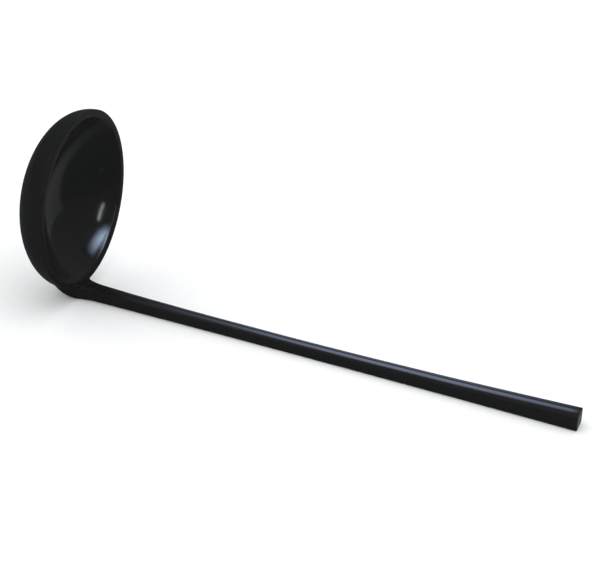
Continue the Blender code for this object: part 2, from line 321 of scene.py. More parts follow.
def outside_radius(bowl, depth):
    """Outside radius at a depth behind the rim plane, lip's edge included. In front of it is no bowl."""
    if depth <= 0.0:
        return 0.0
    down = min(depth / bowl.depth, 1.0)
    wall = bowl.radius * (1.0 - down**bowl.fullness) ** (1.0 / bowl.fullness)
    back = max(bowl.lip_outer - depth, 0.0)
    lip = bowl.radius - bowl.lip_outer + math.sqrt(bowl.lip_outer**2 - back**2)
    return min(wall, lip)


def lap_top(bowl, x):
    """Height of the rim plane over a place behind the rim. Nothing of the bowl lies over it."""
    return bowl.rim_height - min(x, 0.0) / math.tan(bowl.tilt)


def halved(high, is_short):
    """Length at which a test that holds from nothing on fails, found by halving the interval up to high."""
    low = 0.0
    for _ in range(HALVINGS):
        middle = (low + high) / 2
        if is_short(middle):
            low = middle
        else:
            high = middle
    return high


def bowl_under(bowl, x, y, gap):
    """Height of the bowl's underside over a place on the floor, less a gap."""
    centre = rim_centre(bowl)

    def is_outside(height):
        offset = Vector((x, y, height)) - centre
        depth = -offset.x * math.cos(bowl.tilt) - offset.z * math.sin(bowl.tilt)
        drop = offset.x * math.sin(bowl.tilt) - offset.z * math.cos(bowl.tilt)
        return math.hypot(drop, y) > outside_radius(bowl, depth) + gap

    return halved(min(centre.z, lap_top(bowl, x)), is_outside)


def smooth(value):
    """A soft step from 0 to 1."""
    value = min(max(value, 0.0), 1.0)
    return value * value * (3.0 - 2.0 * value)


def along_handle(handle, x, root, waist, end):
    """A size that runs smoothly from the root through the waist, halfway, to the cut end."""
    part = max(x, 0.0) / handle.length
    toward_ends = root * (1 - part) * (1 - 2 * part) + end * part * (2 * part - 1)
    return toward_ends + waist * 4 * part * (1 - part)


def foot_straight(handle):
    return handle.foot_length - handle.foot_round


def half_width(handle, x):
    body = along_handle(handle, x, handle.root_width, handle.waist_width, handle.end_width) / 2
    flare = smooth((handle.flare - x) / (handle.flare + foot_straight(handle)))
    width = body + (handle.foot_width / 2 - body) * flare
    past = max(-x - foot_straight(handle), 0.0) / handle.foot_round
    return width * math.sqrt(max(1.0 - past * past, 0.0))


def rear_place(handle, turn):
    """Place along the foot's rounded rear, by the angle round it."""
    return -foot_straight(handle) - handle.foot_round * math.sin(turn)


def underside(bowl, handle, x):
    """Height of the handle's underside: flat, then rising in the heel to the foot's tip."""
    tip = rear_place(handle, TIP_ANGLE)
    heel_start = handle.heel - handle.foot_length
    heel_top = bowl_under(bowl, tip, 0.0, 0.0) - handle.foot_edge
    part = max(heel_start - x, 0.0) / (heel_start - tip)
    return heel_top * part**handle.heel_curve


def under_round(handle, x):
    """Radius of the lower edges, which grows along the foot."""
    return handle.under_round + (handle.foot_under - handle.under_round) * smooth(-x / foot_straight(handle))


def topside(bowl, handle, x):
    """Height of the handle's top in front of the bowl, with its hollow curve up to the lip."""
    throat = handle.throat_rise * max(1.0 - max(x, 0.0) / handle.throat_length, 0.0) ** 2
    strays = math.sin(x / LONG_WAVE) + SHORT_WAVE_SHARE * math.sin(x / SHORT_WAVE + SHORT_WAVE_START)
    steady = smooth((x - handle.throat_length) / handle.crown_run)
    top = along_handle(handle, x, bowl.rim_height, handle.waist_thickness, handle.end_thickness)
    return top + throat + handle.hand_wave * strays * steady


# Meshes


def spread(first, last, steps):
    """Evenly spaced values from first on, short of last."""
    return [first + (last - first) * step / steps for step in range(steps)]


def linked(name, data):
    """A new object in the scene."""
    obj = bpy.data.objects.new(name, data)
    bpy.context.scene.collection.objects.link(obj)
    return obj


def mesh_object(name, bm):
    mesh = bpy.data.meshes.new(name)
    bm.to_mesh(mesh)
    bm.free()
    return linked(name, mesh)


def new_object(name, bm):
    """A piece from a bmesh, with its faces outward and smooth where it is round."""
    bmesh.ops.remove_doubles(bm, verts=bm.verts, dist=WELD_DISTANCE)
    bmesh.ops.recalc_face_normals(bm, faces=bm.faces)
    obj = mesh_object(name, bm)
    shade(obj.data)
    return obj


def shade(mesh):
    mesh.shade_smooth()
    mesh.set_sharp_from_angle(angle=SMOOTH_ANGLE)


def finish_piece(obj, node, material):
    """Gives a piece its finish, hangs it from the body's empty and hides the CAD node that it takes the
    place of.
    """
    obj.data.materials.clear()
    obj.data.materials.append(material)
    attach(obj, BODY)
    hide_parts(node)


def drill(obj, cutters):
    """Cuts holes into a piece and keeps the result as its own mesh."""
    for cutter in cutters:
        hole = obj.modifiers.new(cutter.name, "BOOLEAN")
        hole.operation = "DIFFERENCE"
        hole.object = cutter
    evaluated = obj.evaluated_get(bpy.context.evaluated_depsgraph_get())
    drilled = bpy.data.meshes.new_from_object(evaluated)
    obj.modifiers.clear()
    obj.data = drilled
    drilled.name = obj.name
    shade(drilled)
    for cutter in cutters:
        bpy.data.objects.remove(cutter, do_unlink=True)


def wall_profile(radius, depth, curve, edge):
    """Points (radius, height) of a bowl wall, from under the lip's round edge down to the axis."""
    first = math.asin((edge / depth) ** (curve / 2))
    points = []
    for turn in spread(first, math.pi / 2, WALL_STEPS):
        across = radius * math.cos(turn) ** (2 / curve)
        points.append((across, -depth * math.sin(turn) ** (2 / curve)))
    return points + [(0.0, -depth)]


def arc(across, up, radius, first, last, steps):
    """Points of an arc about a middle, from one angle to another, each with its share of the way."""
    points = []
    for step in range(steps + 1):
        turn = first + (last - first) * step / steps
        points.append((across + radius * math.cos(turn), up + radius * math.sin(turn), step / steps))
    return points


def lip_edge(middle, edge, first, last):
    """Round of one of the lip's edges, about a middle radius."""
    return [(radius, height) for radius, height, _ in arc(middle, -edge, edge, first, last, LIP_STEPS)]


def inside_profile(bowl):
    """Points (radius, height) of the lip's inner edge and of the dish, which is part of a ball."""
    mouth = bowl.radius - bowl.lip_width
    depth = bowl.depth - bowl.base_thickness
    ball = (mouth**2 + depth**2) / (2 * depth)
    middle = math.sqrt(mouth**2 + 2 * bowl.lip_inner * depth)
    slope = math.asin(middle / (ball + bowl.lip_inner))
    points = lip_edge(middle, bowl.lip_inner, math.pi / 2, math.pi / 2 + slope)
    for turn in spread(slope, 0.0, WALL_STEPS)[1:]:
        points.append((ball * math.sin(turn), ball * (1.0 - math.cos(turn)) - depth))
    return points + [(0.0, -depth)]


def bowl_profile(bowl):
    outer = wall_profile(bowl.radius, bowl.depth, bowl.fullness, bowl.lip_outer)
    outer_edge = lip_edge(bowl.radius - bowl.lip_outer, bowl.lip_outer, 0.0, math.pi / 2)
    return outer[::-1] + outer_edge + inside_profile(bowl)


def bridge(bm, loops):
    """Faces from each loop of points to the next. A loop may be one point over and over."""
    for near, far in zip(loops, loops[1:]):
        for side in range(len(near)):
            corners = (near[side - 1], near[side], far[side], far[side - 1])
            bm.faces.new(dict.fromkeys(corners))


def turned(bowl):
    """The bowl turned about its axis, with the slight waver of handwork in its lip."""
    bm = bmesh.new()
    rings = []
    for radius, height in bowl_profile(bowl):
        if radius == 0.0:
            rings.append([bm.verts.new((0.0, 0.0, height))] * BOWL_SIDES)
            continue
        near_lip = smooth(1.0 + height / bowl.depth)
        ring = []
        for turn in spread(0.0, math.tau, BOWL_SIDES):
            strays = math.sin(2 * turn + OVAL_START) + LOBE_SHARE * math.sin(LOBES * turn)
            reach = radius + bowl.lip_wave * near_lip * strays
            ring.append(bm.verts.new((reach * math.cos(turn), reach * math.sin(turn), height)))
        rings.append(ring)
    bridge(bm, rings)
    return bm


def crown_lean(reach, edge, bend):
    """Lean of the crowned top where a round edge takes over from it, found by repeated correction."""
    lean = 0.0
    for _ in range(HALVINGS):
        lean = math.atan((reach + edge * math.sin(lean)) * bend)
    return lean


def worn_edge(across, up, radius, first, last):
    """Round edge of the handle as (y, z, wear), worn most in its middle."""
    edge = arc(across, up, radius, first, last, CORNER_STEPS)
    return [(y, z, math.sin(math.pi * part)) for y, z, part in edge]


def half_section(bowl, handle, x, inset):
    """Right half of the handle's section as (y, z, wear), from the underside's middle to the top's."""
    across = half_width(handle, x) - inset
    low = underside(bowl, handle, x) + inset
    high = topside(bowl, handle, x) - inset
    under = min(under_round(handle, x), across) - inset
    top = min(handle.top_round, across) - inset
    if x < 0.0:
        high = max(high, bowl_under(bowl, x, across, 0.0) + 2 * top)
    flat_low = across - under
    bend = smooth(x / handle.crown_run) / handle.top_crown
    lean = crown_lean(across - top, top, bend)
    crown_end = across - top + top * math.sin(lean)
    arc_middle = high - bend * crown_end**2 / 2 - top * math.cos(lean)
    points = [(flat_low * part, low, 0.0) for part in FLAT_SHARES]
    points += worn_edge(flat_low, low + under, under, -math.pi / 2, 0.0)
    for part in SIDE_SHARES:
        swell = handle.side_crown * 4 * part * (1 - part)
        points.append((across + swell, low + under + (arc_middle - low - under) * part, 0.0))
    points += worn_edge(across - top, arc_middle, top, 0.0, math.pi / 2 - lean)
    for part in CROWN_SHARES:
        points.append((crown_end * part, high - bend * (crown_end * part) ** 2 / 2, 0.0))
    return points


def handle_ring(bowl, handle, contact, x, inset):
    """Section all round at x. Under the bowl its top follows the bowl's outside."""
    right = half_section(bowl, handle, x, inset)
    left = [(-y, z, wear) for y, z, wear in right[-2:0:-1]]
    ring = []
    for y, z, wear in right + left:
        if x < 0.0:
            z = min(z, bowl_under(bowl, x, y, contact))
        ring.append((Vector((x, y, z)), wear))
    return ring


def foot_places(bowl, handle):
    """Places along the foot, from its tip to the rim."""
    rear = [rear_place(handle, turn) for turn in spread(TIP_ANGLE, 0.0, TIP_STEPS)]
    under_lip = -2.0 * bowl.lip_outer
    lap = spread(-foot_straight(handle), under_lip, LAP_STEPS)
    return rear + lap + spread(under_lip, 0.0, LIP_LAP_STEPS)


def slanted(handle, point):
    """A point of the cut end, drawn out the more the lower it lies."""
    return point + Vector((handle.end_slant * (1 - point.z / handle.end_thickness), 0.0, 0.0))


def handle_rings(bowl, handle, contact):
    last = handle.length - handle.end_round
    places = foot_places(bowl, handle) + spread(0.0, handle.throat_length, THROAT_STEPS)
    places += spread(handle.throat_length, 2 * handle.flare, FLARE_STEPS)
    places += spread(2 * handle.flare, last, BODY_STEPS)
    rings = [handle_ring(bowl, handle, contact, x, 0.0) for x in places]
    for step in range(END_STEPS + 1):
        turn = math.pi / 2 * step / END_STEPS
        inset = handle.end_round * (1 - math.cos(turn))
        x = last + handle.end_round * math.sin(turn)
        ring = handle_ring(bowl, handle, contact, x, inset)
        rings.append([(slanted(handle, point), 1.0) for point, _ in ring])
    return rings


def lofted(rings):
    """A bmesh through rings of (point, wear), capped at both ends, with the wear kept on its points."""
    bm = bmesh.new()
    worn = bm.verts.layers.float.new("wear")
    loops = []
    for ring in rings:
        loop = []
        for point, wear in ring:
            vert = bm.verts.new(point)
            vert[worn] = wear
            loop.append(vert)
        loops.append(loop)
    bridge(bm, loops)
    bm.faces.new(loops[0])
    bm.faces.new(loops[-1])
    return bm


def peg_places(handle):
    """Name, place along the bench frame and top of each peg."""
    start = rim_place(handle)
    boxes = {"front_peg": (FRONT_PEG_LOW, FRONT_PEG_HIGH), "rear_peg": (REAR_PEG_LOW, REAR_PEG_HIGH)}
    return [(name, (low.x + high.x) / 2 - start.x, high.z - start.z) for name, (low, high) in boxes.items()]


def peg_mesh(bowl, handle, joint, x, top):
    """A round peg whose lower end is pared to follow the underside."""
    bm = bmesh.new()
    radius = joint.peg_radius
    rings = []
    for ring in range(PEG_RINGS):
        reach = (radius - joint.peg_edge) * ring / (PEG_RINGS - 1)
        dome = joint.peg_dome * (1 - (reach / radius) ** 2)
        rings.append((reach, joint.peg_sink - dome, True))
    rings.append((radius, joint.peg_sink + joint.peg_edge, True))
    rings.append((radius, top - joint.peg_edge, False))
    rings.append((radius - joint.peg_edge, top, False))
    rings.append((0.0, top, False))
    loops = []
    for reach, height, pared in rings:
        loop = []
        for turn in spread(0.0, math.tau, PEG_SIDES):
            across = x + reach * math.cos(turn)
            base = underside(bowl, handle, across) if pared else 0.0
            loop.append(bm.verts.new((across, reach * math.sin(turn), base + height)))
        loops.append(loop)
    bridge(bm, loops)
    return bm


def peg_cutters(handle, joint):
    """Rods that drill the peg holes through the foot and blind into the bowl."""
    cutters = []
    for name, x, top in peg_places(handle):
        bm = bmesh.new()
        reach = joint.peg_radius + joint.hole_gap
        height = top + joint.hole_gap + reach
        sizes = {"radius1": reach, "radius2": reach, "depth": height}
        bmesh.ops.create_cone(bm, cap_ends=True, segments=PEG_SIDES, **sizes)
        cutter = new_object(name + "_hole", bm)
        cutter.location = rim_place(handle) + Vector((x, 0.0, height / 2 - reach))
        cutters.append(cutter)
    bpy.context.view_layer.update()
    return cutters


def bead_outline(handle, joint):
    """Plan of the seam from the rim along one side, round the tip and back, as (place, outward)."""
    places = spread(-joint.bead_start, -foot_straight(handle), 3 * LAP_STEPS)
    places += [rear_place(handle, turn) for turn in spread(0.0, TIP_ANGLE, 2 * TIP_STEPS) + [TIP_ANGLE]]
    side = [Vector((x, half_width(handle, x))) for x in places]
    outline = side + [Vector((point.x, -point.y)) for point in side[::-1]]
    located = []
    for index, point in enumerate(outline):
        before = outline[max(index - 1, 0)]
        after = outline[min(index + 1, len(outline) - 1)]
        run = (after - before).normalized()
        located.append((point, Vector((run.y, -run.x))))
    return located


def bead_edge(bowl, joint, corner, outward, reach):
    """Where the bead ends on the bowl's outside, a given reach from the seam."""

    def edge_at(run):
        place = corner.xy + outward * run
        return Vector((place.x, place.y, bowl_under(bowl, place.x, place.y, joint.contact)))

    return edge_at(halved(reach, lambda run: (edge_at(run) - corner).length <= reach))


def bead_limit(bowl, joint, corner, lower, outward, reach):
    """A little less than the reach asked, or than that at which a straight face touches the bowl."""
    limit = reach
    widest = 0.0
    for tried in spread(reach, 0.0, TOUCH_STEPS):
        edge = bead_edge(bowl, joint, corner, outward, tried)
        opening = (edge - lower).xy.length / max(edge.z - lower.z, WELD_DISTANCE)
        if opening > widest:
            widest = opening
            limit = tried
    return limit * joint.bead_touch


def bead_section(bowl, handle, joint, point, outward):
    """Bead between the bowl's outside and the foot's side, as a closed ring of points."""
    grown = smooth((-point.x - joint.bead_start) / joint.bead_feather)
    size = joint.bead_least + (1 - joint.bead_least) * grown
    seam = point + outward * joint.contact
    corner = Vector((seam.x, seam.y, bowl_under(bowl, seam.x, seam.y, joint.contact)))
    side_low = underside(bowl, handle, point.x) + under_round(handle, point.x)
    lower = Vector((seam.x, seam.y, max(corner.z - joint.bead_drop * size, min(side_low, corner.z))))
    limit = bead_limit(bowl, joint, corner, lower, outward, joint.bead_reach * size)
    on_bowl = [bead_edge(bowl, joint, corner, outward, reach) for reach in spread(limit, 0.0, BEAD_STEPS)]
    face = [lower.lerp(on_bowl[0], part) for part in spread(0.0, 1.0, BEAD_STEPS)]
    return [(spot, 0.0) for spot in on_bowl + [corner] + face]


# Materials


def add_node(tree, kind, inputs=None, **settings):
    """A shader node with its settings, and each named input set to a value or linked to an output."""
    made = tree.nodes.new("ShaderNode" + kind)
    for name, value in settings.items():
        setattr(made, name, value)
    for name, value in (inputs or {}).items():
        if isinstance(value, bpy.types.NodeSocket):
            tree.links.new(value, made.inputs[name])
        else:
            made.inputs[name].default_value = value
    return made


def math_node(tree, operation, *values):
    return add_node(tree, "Math", dict(enumerate(values)), operation=operation).outputs[0]


def ramp(tree, value, low, high, to_low=0.0, to_high=1.0):
    """A soft ramp of a value from one range to another."""
    inputs = {"Value": value, "From Min": low, "From Max": high, "To Min": to_low, "To Max": to_high}
    return add_node(tree, "MapRange", inputs, interpolation_type="SMOOTHSTEP").outputs[0]


def noise(tree, vector, grain):
    inputs = {"Vector": vector, "Scale": grain.scale, "Detail": grain.detail, "Roughness": grain.roughness}
    return add_node(tree, "TexNoise", inputs).outputs[0]


def marks_of(tree, vector, grain, to_low=0.0, to_high=1.0):
    """A pattern of noise between the levels it shows at."""
    return ramp(tree, noise(tree, vector, grain), grain.low, grain.high, to_low, to_high)


def blend(tree, part, first, second):
    """A colour between two, by a share."""
    return add_node(tree, "Mix", {0: part, 6: first, 7: second}, data_type="RGBA").outputs[2]


def bump(tree, height, distance, normal=None):
    inputs = {"Height": height, "Distance": distance, "Strength": 1.0}
    if normal:
        inputs["Normal"] = normal
    return add_node(tree, "Bump", inputs).outputs[0]


def new_material(name):
    """An empty node material with its surface output."""
    material = bpy.data.materials.new(name)
    material.use_nodes = True
    material.node_tree.nodes.clear()
    return material, material.node_tree, material.node_tree.nodes.new("ShaderNodeOutputMaterial")


def lacquer_shader(tree, output, specular, base, roughness, normal):
    inputs = {"Base Color": base, "Roughness": roughness, "Normal": normal, "Specular IOR Level": specular}
    shader = add_node(tree, "BsdfPrincipled", inputs)
    tree.links.new(shader.outputs[0], output.inputs["Surface"])


def stroke_vector(tree, place, stretch):
    """Coordinates drawn out along the way that the lacquer brush went."""
    return add_node(tree, "Mapping", {"Vector": place, "Scale": stretch}).outputs[0]


def turned_vector(tree, place):
    """Coordinates that run round the bowl's axis, so that strokes and turning marks follow it."""
    axes = add_node(tree, "SeparateXYZ", {"Vector": place}).outputs
    flat = add_node(tree, "CombineXYZ", {"X": axes[0], "Y": axes[1]}).outputs[0]
    radius = add_node(tree, "VectorMath", {0: flat}, operation="LENGTH").outputs["Value"]
    around = add_node(tree, "VectorMath", {0: flat}, operation="NORMALIZE").outputs[0]
    swing = add_node(tree, "VectorMath", {0: around, "Scale": TURNED_SWING}, operation="SCALE").outputs[0]
    stretched = add_node(tree, "CombineXYZ", {"X": radius, "Y": axes[2]}).outputs[0]
    return add_node(tree, "VectorMath", {0: stretched, 1: swing}, operation="ADD").outputs[0]


def height_of(tree, place):
    return add_node(tree, "SeparateXYZ", {"Vector": place}).outputs[2]


def lacquer(name, looks, place_vector, wear, marks, reflection=None):
    """Polished black lacquer: brush strokes, a faint orange peel, rubbed patches and brown worn edges.

    place_vector and wear are functions of the node tree that give the strokes' coordinates and the worn
    share. marks gives the heights of the peel and of the strokes. reflection, a third function, gives a
    specular level that differs from place to place.
    """
    material, tree, output = new_material(name)
    place = add_node(tree, "TexCoord").outputs["Object"]
    strokes_at = place_vector(tree, place)
    strokes = noise(tree, strokes_at, STROKES)
    hairs = marks_of(tree, strokes_at, HAIRS, 0.0, HAIR_ROUGHNESS)
    rubbed = marks_of(tree, place, RUBBING)
    worn = math_node(tree, "MULTIPLY", wear(tree, place), marks_of(tree, place, WEAR))

    body = blend(tree, rubbed, looks.black, looks.warm)
    base = blend(tree, worn, body, looks.edge)

    roughness = ramp(tree, strokes, STROKES.low, STROKES.high, *STROKE_ROUGHNESS)
    roughness = math_node(tree, "MULTIPLY_ADD", rubbed, RUBBED_ROUGHNESS, roughness)
    roughness = math_node(tree, "MULTIPLY_ADD", worn, WORN_ROUGHNESS, roughness)
    roughness = math_node(tree, "ADD", roughness, hairs)

    peel_height, stroke_height = marks
    peeled = bump(tree, noise(tree, place, PEEL), peel_height)
    normal = bump(tree, strokes, stroke_height, peeled)
    specular = reflection(tree, place) if reflection else looks.specular
    lacquer_shader(tree, output, specular, base, roughness, normal)
    return material


def bowl_lacquer(looks, bowl):
    def lip_wear(tree, place):
        return ramp(tree, height_of(tree, place), LIP_WORN_FROM * bowl.lip_inner, 0.0, 0.0, LIP_WEAR)

    def dulled_lip(tree, place):
        bright = LIP_DULL_FROM * bowl.lip_inner
        dull = LIP_DULL_TO * bowl.lip_inner
        return ramp(tree, height_of(tree, place), bright, dull, looks.specular, looks.lip_specular)

    return lacquer("bowl_lacquer", looks, turned_vector, lip_wear, BOWL_MARKS, dulled_lip)


def handle_lacquer(looks):
    def strokes_at(tree, place):
        return stroke_vector(tree, place, HANDLE_STROKES)

    def edge_wear(tree, place):
        marked = add_node(tree, "Attribute", attribute_name="wear").outputs["Fac"]
        return math_node(tree, "MULTIPLY", marked, EDGE_WEAR)

    return lacquer("handle_lacquer", looks, strokes_at, edge_wear, HANDLE_MARKS)


def bead_lacquer(looks):
    """Lacquer over putty, a little softer and lumpier than over turned wood."""

    def strokes_at(tree, place):
        return stroke_vector(tree, place, BEAD_STROKES)

    def worn_specks(tree, place):
        return marks_of(tree, place, SPECKS, 0.0, SPECK_WEAR)

    return lacquer("bead_lacquer", looks, strokes_at, worn_specks, BEAD_MARKS)


def peg_bamboo(looks, name, lowest):
    """Bamboo with its fibres along the peg, sealed with lacquer on the pared end."""
    material, tree, output = new_material(name)
    place = add_node(tree, "TexCoord").outputs["Object"]
    along = stroke_vector(tree, place, PEG_FIBRES)
    cells = add_node(tree, "TexVoronoi", {"Vector": along, "Scale": FIBRE_SCALE}).outputs["Distance"]
    fibres = ramp(tree, cells, *WOOD_LEVELS)
    wood = blend(tree, fibres, looks.fibre, looks.bamboo)
    sealed = ramp(tree, height_of(tree, place), lowest + SEAL_FROM, lowest + SEAL_TO, 1.0, 0.0)
    skin = blend(tree, ramp(tree, cells, *SKIN_LEVELS), looks.edge, looks.black)
    base = blend(tree, sealed, wood, skin)
    smoothed = math_node(tree, "MULTIPLY_ADD", fibres, -FIBRE_ROUGHNESS, sealed)
    roughness = ramp(tree, smoothed, 0.0, 1.0, *PEG_ROUGHNESS)
    normal = bump(tree, cells, FIBRE_HEIGHT)
    lacquer_shader(tree, output, looks.specular, base, roughness, normal)
    return material


# Pieces


class BowlOperator(bpy.types.Operator):
    """Turn the bowl and drill its two blind peg holes"""

    bl_idname = "scoop.bowl"
    bl_label = "Bowl"

    def execute(self, context):
        scene = context.scene
        bowl = scene.scoop_bowl
        obj = new_object("lacquered_bowl", turned(bowl))
        obj.location = rim_place(scene.scoop_handle) + rim_centre(bowl)
        obj.rotation_euler = (0.0, math.pi / 2 - bowl.tilt, 0.0)
        drill(obj, peg_cutters(scene.scoop_handle, scene.scoop_joint))
        finish_piece(obj, "bowl", bowl_lacquer(scene.scoop_looks, bowl))
        return {"FINISHED"}


class HandleOperator(bpy.types.Operator):
    """Shape the handle with its foot and drill the two peg holes through it"""

    bl_idname = "scoop.handle"
    bl_label = "Handle"

    def execute(self, context):
        scene = context.scene
        handle = scene.scoop_handle
        joint = scene.scoop_joint
        obj = new_object("lacquered_handle", lofted(handle_rings(scene.scoop_bowl, handle, joint.contact)))
        obj.location = rim_place(handle)
        drill(obj, peg_cutters(handle, joint))
        finish_piece(obj, "handle", handle_lacquer(scene.scoop_looks))
        return {"FINISHED"}


class PegsOperator(bpy.types.Operator):
    """Drive the two bamboo pegs and pare their ends to the underside"""

    bl_idname = "scoop.pegs"
    bl_label = "Pegs"

    def execute(self, context):
        scene = context.scene
        bowl = scene.scoop_bowl
        handle = scene.scoop_handle
        joint = scene.scoop_joint
        for node, x, top in peg_places(handle):
            obj = new_object("bamboo_" + node, peg_mesh(bowl, handle, joint, x, top))
            obj.location = rim_place(handle)
            lowest = underside(bowl, handle, x)
            material = peg_bamboo(scene.scoop_looks, node + "_bamboo", lowest)
            finish_piece(obj, node, material)
        return {"FINISHED"}


class BeadOperator(bpy.types.Operator):
    """Lay the putty bead into the seam between the bowl and the foot"""

    bl_idname = "scoop.bead"
    bl_label = "Putty Bead"

    def execute(self, context):
        scene = context.scene
        handle = scene.scoop_handle
        joint = scene.scoop_joint
        outline = bead_outline(handle, joint)
        rings = [bead_section(scene.scoop_bowl, handle, joint, point, outward) for point, outward in outline]
        obj = new_object("putty_bead", lofted(rings))
        obj.location = rim_place(handle)
        finish_piece(obj, "seam_fillet", bead_lacquer(scene.scoop_looks))
        return {"FINISHED"}


# Stage

FLOOR_HALF = 4.0
CORNERS = ((-1, -1), (1, -1), (1, 1), (-1, 1))
SENSOR_WIDTH = 36.0

# Where the camera looks, from the rim's lowest point
CAMERA_AIM = Vector((90.12, 0.0, 28.18)) * MM

# Along the frame's x, where the floor's painted glow starts and where it has its full glow
GLOW_START = -81.5 * MM
GLOW_FULL = -47.5 * MM

# Patch of painted glow past the cut end, a painted reflection for the cut end: its sharp near border, its
# soft far one, and those at its sides
PATCH_NEAR = 1.0 * MM
PATCH_FULL = 10.0 * MM
PATCH_FAR = 20.0 * MM
PATCH_SIDE_FULL = 25.0 * MM
PATCH_SIDE_FAR = 40.0 * MM

# Between which upward and which forward shares of a direction the mirrored room gets brighter
ROOM_RISE = (-0.1, 0.9)
ROOM_FRONT = (-0.9, -0.1)

SOFT_TOP_PLACE = Vector((-0.2, -0.3, 1.2))
SOFT_TOP_SIZE = 1.6
SOFT_TOP_POWER = 4.0

KEY_BLUE = (0.58, 0.73, 1.0, 1.0)
SKY_BLUE = (0.60, 0.71, 1.0, 1.0)
NEAR_WHITE = (0.95, 0.97, 1.0, 1.0)


def direction(azimuth, elevation):
    """Unit vector at an azimuth from the front towards the handle's end, and an elevation."""
    flat = math.cos(elevation)
    return Vector((math.sin(azimuth) * flat, -math.cos(azimuth) * flat, math.sin(elevation)))


class Card(NamedTuple):
    """A soft panel that shows only as a reflection.

    It is turned about the line to what it faces. fades gives the share of its half size over which each
    border, left, right, low and high, fades.
    """

    name: str
    place: Vector
    size: tuple
    tint: tuple
    strength: float
    fades: tuple
    turn: float = 0.0


# Panels that face the bowl's mouth, with their places counted from it
MOUTH_CARDS = (
    Card(
        name="key_softbox",
        place=direction(math.radians(97.0), math.radians(40.8)) * 0.7,
        size=(0.668, 0.163),
        tint=KEY_BLUE,
        strength=22.5,
        fades=(1.6, 1.0, 1.85, 0.49),
        turn=math.radians(-7.5),
    ),
    Card(
        name="streak_strip",
        place=direction(math.radians(75.5), math.radians(19.0)) * 0.7,
        size=(0.056, 0.27),
        tint=NEAR_WHITE,
        strength=5.6,
        fades=(0.6, 0.6, 0.4, 0.4),
        turn=math.radians(36.0),
    ),
    Card(
        name="back_window",
        place=direction(math.radians(238.0), math.radians(66.0)) * 1.2,
        size=(0.9, 0.44),
        tint=NEAR_WHITE,
        strength=1.3,
        fades=(1.0, 1.0, 1.0, 1.0),
    ),
)

# Panels far behind the scoop that face the handle's line, with their places in the frame
FAR_CARDS = (
    Card(
        name="far_window",
        place=Vector((-0.3, 1.2, 1.03)),
        size=(0.74, 0.92),
        tint=SKY_BLUE,
        strength=2.9,
        fades=(0.86, 0.86, 0.75, 0.8),
    ),
    Card(
        name="far_glow",
        place=Vector((-0.3, 1.24, 0.256)),
        size=(0.74, 0.6),
        tint=SKY_BLUE,
        strength=0.75,
        fades=(0.86, 0.86, 0.5, 0.5),
    ),
)


def stage_mesh(name, corners, material):
    """A flat stage piece through its corners."""
    bm = bmesh.new()
    bm.faces.new([bm.verts.new(corner) for corner in corners])
    obj = mesh_object(name, bm)
    obj.data.materials.append(material)
    return obj


def painted_glow_share(tree, stage, place):
    """Share of the painted glow: behind the scoop, beyond the painted shade, and in a patch past the cut
    end.
    """
    axes = add_node(tree, "SeparateXYZ", {"Vector": place}).outputs
    behind = math_node(tree, "MULTIPLY_ADD", axes[0], -stage.glow_lean, axes[1])
    blur = stage.glow_blur / 2
    beyond = ramp(tree, behind, stage.glow_border - blur, stage.glow_border + blur)
    beyond = math_node(tree, "MULTIPLY", beyond, ramp(tree, axes[0], GLOW_START, GLOW_FULL))
    end = HANDLE_HIGH.x
    near = ramp(tree, axes[0], end, end + PATCH_NEAR)
    far = ramp(tree, axes[0], end + PATCH_FAR, end + PATCH_FULL)
    in_line = ramp(tree, math_node(tree, "ABSOLUTE", axes[1]), PATCH_SIDE_FAR, PATCH_SIDE_FULL)
    patch = math_node(tree, "MULTIPLY", math_node(tree, "MULTIPLY", near, far), in_line)
    return math_node(tree, "MAXIMUM", beyond, patch)


def floor_material(stage):
    """Pale seamless paper to the camera. Gloss rays see a painted glow instead: painted shade near the
    scoop, brighter further off.
    """
    material, tree, output = new_material("paper_with_painted_reflection")
    place = add_node(tree, "TexCoord").outputs["Object"]
    shades = {0: 1.0, 6: stage.floor, 7: marks_of(tree, place, PAPER, *PAPER_SHADES)}
    shaded = add_node(tree, "Mix", shades, data_type="RGBA", blend_type="MULTIPLY").outputs[2]
    paper = add_node(tree, "BsdfDiffuse", {"Color": shaded})
    glowing = painted_glow_share(tree, stage, place)
    # Painted reflection of the floor: painted shade near the scoop, painted glow behind it and past the cut
    # end.
    dim = add_node(tree, "Emission", {"Color": blend(tree, glowing, stage.flag, stage.painted_glow)})
    ray = add_node(tree, "LightPath").outputs["Is Glossy Ray"]
    mixed = add_node(tree, "MixShader", {0: ray, 1: paper.outputs[0], 2: dim.outputs[0]})
    tree.links.new(mixed.outputs[0], output.inputs["Surface"])
    return material


def faded(tree, coordinate, first, last):
    """Share of the glow across a panel, from -1 to 1 in its own coordinates, by two borders' fades."""
    from_first = ramp(tree, coordinate, -1.0, first - 1.0)
    return math_node(tree, "MULTIPLY", from_first, ramp(tree, coordinate, 1.0, 1.0 - last))


def card_material(card):
    """A glowing panel that fades to its borders."""
    material, tree, output = new_material(card.name)
    place = add_node(tree, "TexCoord").outputs["Object"]
    axes = add_node(tree, "SeparateXYZ", {"Vector": place}).outputs
    left, right, low, high = card.fades
    sides = faded(tree, axes[0], left, right)
    ends = faded(tree, axes[1], low, high)
    glow = math_node(tree, "MULTIPLY", math_node(tree, "MULTIPLY", sides, ends), card.strength)
    light = add_node(tree, "Emission", {"Color": card.tint, "Strength": glow})
    tree.links.new(light.outputs[0], output.inputs["Surface"])
    return material


def only_in_gloss(obj):
    """A stage piece that shows only as a reflection."""
    obj.visible_camera = False
    obj.visible_diffuse = False
    obj.visible_shadow = False
    obj.visible_transmission = False


